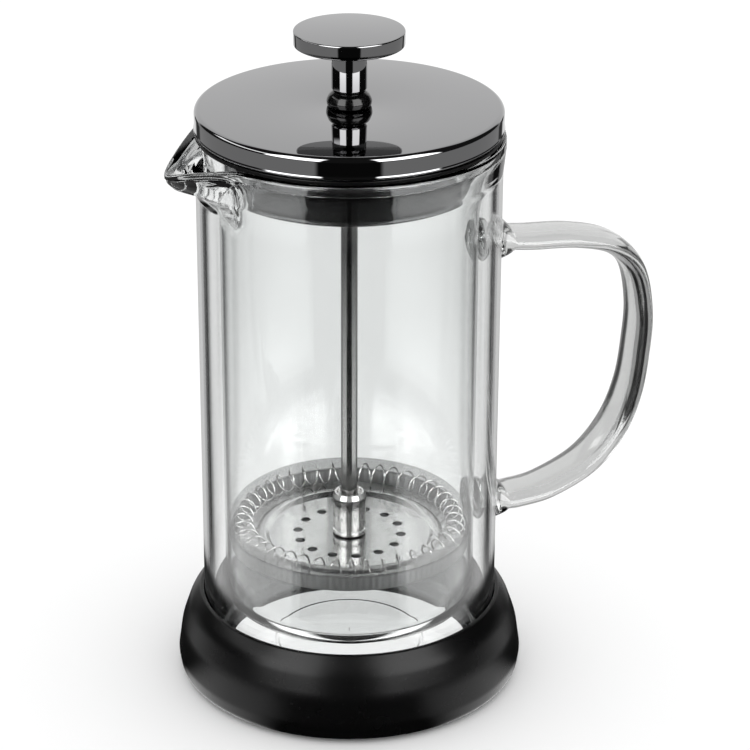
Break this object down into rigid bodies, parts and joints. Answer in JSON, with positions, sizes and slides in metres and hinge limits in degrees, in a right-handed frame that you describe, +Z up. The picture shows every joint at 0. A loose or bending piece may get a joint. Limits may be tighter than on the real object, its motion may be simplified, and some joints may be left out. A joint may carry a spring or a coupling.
{
  "type": "french press",
  "caption": "Double-wall glass coffee press with a pouring lip, a glass loop handle, a polished steel lid, a push-down mesh filter and a black silicone base ring.",
  "frame": {"origin": "centre of the whole object's box in X and Y, at the underside it stands on", "axes": "+Z up along the plunger rod, +X towards the handle, -X towards the pouring lip, +Y completes a right-handed set"},
  "size_m": [0.1616, 0.1114, 0.215],
  "materials": {
    "clear_glass": "clear borosilicate glass, fire polished",
    "dark_chrome": "mirror polished",
    "stainless_steel": "plain stainless steel, lightly polished",
    "woven_steel": "fine woven stainless wire, matt",
    "black_silicone": "matt black silicone",
    "black_nylon": "satin black nylon"
  },
  "bodies": {
    "carafe": {"glass_jacket": "clear_glass", "glass_liner": "clear_glass", "glass_handle": "clear_glass", "base_ring": "black_silicone"},
    "lid": {"lid_cap": "dark_chrome", "lid_bowl": "dark_chrome", "lid_seal": "black_silicone"},
    "guide": {"guide_bush": "black_nylon", "bush_nut": "stainless_steel"},
    "plunger": {"knob_disc": "dark_chrome", "knob_stem": "dark_chrome", "plunger_rod": "stainless_steel", "filter_hub": "stainless_steel", "spring_plate": "stainless_steel", "coil_spring": "stainless_steel", "mesh_screen": "woven_steel", "cross_plate": "stainless_steel", "cross_nut": "stainless_steel"}
  },
  "joints": [
    {"name": "lid_lift", "type": "slide", "parent": "carafe", "child": "lid", "axis": [0, 0, 1], "range_m": [0, 0.16]},
    {"name": "plunger_turn", "type": "hinge", "parent": "lid", "child": "guide", "pos_m": [-0.02215, 0, 0.18], "axis": [0, 0, 1], "continuous": true},
    {"name": "plunger_slide", "type": "slide", "parent": "guide", "child": "plunger", "axis": [0, 0, 1], "range_m": [0, 0.1]}
  ]
}
